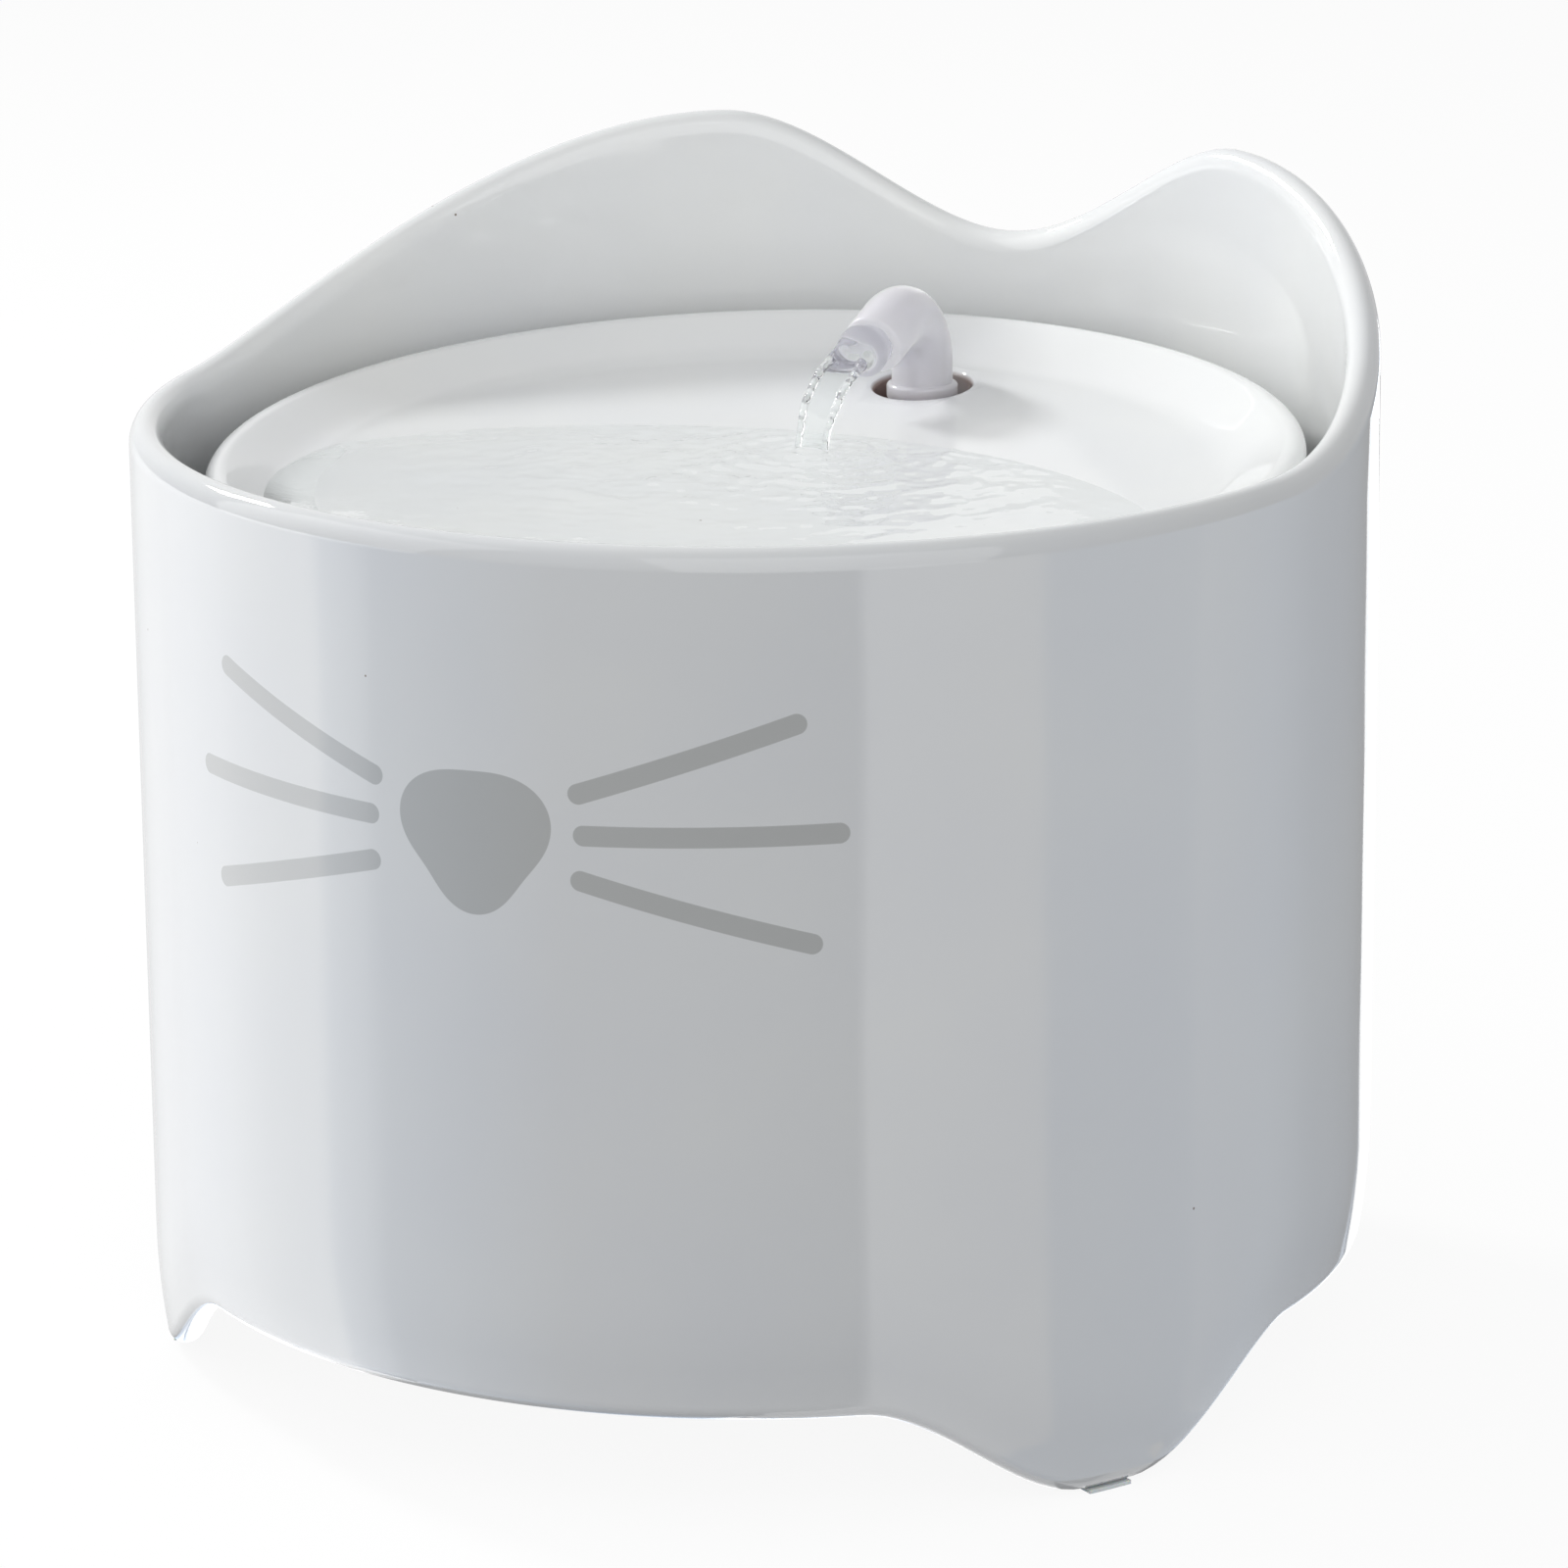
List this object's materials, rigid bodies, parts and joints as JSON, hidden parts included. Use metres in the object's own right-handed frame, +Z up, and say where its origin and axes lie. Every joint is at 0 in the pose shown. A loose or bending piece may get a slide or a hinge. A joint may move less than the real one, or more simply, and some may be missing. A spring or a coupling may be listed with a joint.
{
  "type": "pet water fountain",
  "caption": "Round glazed ceramic drinking fountain for cats, with an ear-shaped rim, scalloped feet, a lift-out dish, a swan-neck spout and a submersible pump in a filter case.",
  "frame": {"origin": "on the surface that the feet stand on, below the axis of the bowl", "axes": "+Z up along the bowl's axis, -Y towards the side with the nose and whiskers (front), +X to the right seen from the front's own view along +Y"},
  "size_m": [0.19, 0.19, 0.176],
  "materials": {
    "glaze": "glossy white glaze",
    "silicone": "translucent silicone",
    "spout_plastic": "milky translucent plastic",
    "case_plastic": "white moulded plastic",
    "cup_rubber": "soft clear rubber",
    "carbon": "granular carbon",
    "foam": "open-cell foam",
    "pump_plastic": "fine-textured plastic",
    "core_steel": "stamped laminations",
    "coil_wire": "enamelled copper wire",
    "circuit_board": "solder mask",
    "resin": "potting resin",
    "black_rubber": "moulded rubber",
    "shaft_ceramic": "ground ceramic",
    "magnet": "sintered ferrite",
    "rotor_plastic": "moulded plastic",
    "dial_plastic": "moulded plastic"
  },
  "bodies": {
    "bowl": {"bowl": "glaze", "foot_pads": "silicone", "dish_bumpers": "silicone", "cord_grommet": "silicone"},
    "pump_unit": {"filter_case": "case_plastic", "suction_cups": "cup_rubber", "motor_housing": "pump_plastic", "stator_core": "core_steel", "stator_coils": "coil_wire", "driver_board": "circuit_board", "potting_plug": "resin", "cord_gland": "black_rubber", "shaft": "shaft_ceramic", "rear_bush": "black_rubber", "front_bush": "black_rubber", "volute_cover": "pump_plastic", "cover_seal": "black_rubber", "strainer_cap": "pump_plastic", "riser_tube": "silicone"},
    "impeller": {"impeller": "rotor_plastic", "rotor_magnet": "magnet"},
    "flow_dial": {"flow_dial": "dial_plastic"},
    "case_lid": {"case_lid": "case_plastic"},
    "cartridge": {"cartridge_frame": "case_plastic", "carbon_pack": "carbon", "foam_sheet": "foam"},
    "dish": {"dish": "glaze"},
    "spout_sleeve": {"spout_sleeve": "silicone"},
    "spout": {"spout": "spout_plastic"}
  },
  "joints": [
    {"name": "pump_lift", "type": "slide", "parent": "bowl", "child": "pump_unit", "axis": [0, 0, 1], "range_m": [0, 0.15]},
    {"name": "dish_lift", "type": "slide", "parent": "pump_unit", "child": "dish", "axis": [0, 0, 1], "range_m": [0, 0.06]},
    {"name": "spout_lift", "type": "slide", "parent": "dish", "child": "spout_sleeve", "axis": [0, 0, 1], "range_m": [0, 0.035]},
    {"name": "spout_turn", "type": "hinge", "parent": "spout_sleeve", "child": "spout", "pos_m": [0, 0.06, 0.13], "axis": [0, 0, 1], "range_deg": [-40, 40]},
    {"name": "lid_lift", "type": "slide", "parent": "pump_unit", "child": "case_lid", "axis": [0, 0, 1], "range_m": [0, 0.038]},
    {"name": "cartridge_lift", "type": "slide", "parent": "pump_unit", "child": "cartridge", "axis": [0, 0, 1], "range_m": [0, 0.04]},
    {"name": "impeller_spin", "type": "hinge", "parent": "pump_unit", "child": "impeller", "pos_m": [0, 0.06, 0.0549], "axis": [1, 0, 0], "continuous": true},
    {"name": "flow_adjust", "type": "hinge", "parent": "pump_unit", "child": "flow_dial", "pos_m": [0, 0.06, 0.0549], "axis": [1, 0, 0], "range_deg": [0, 45]}
  ]
}
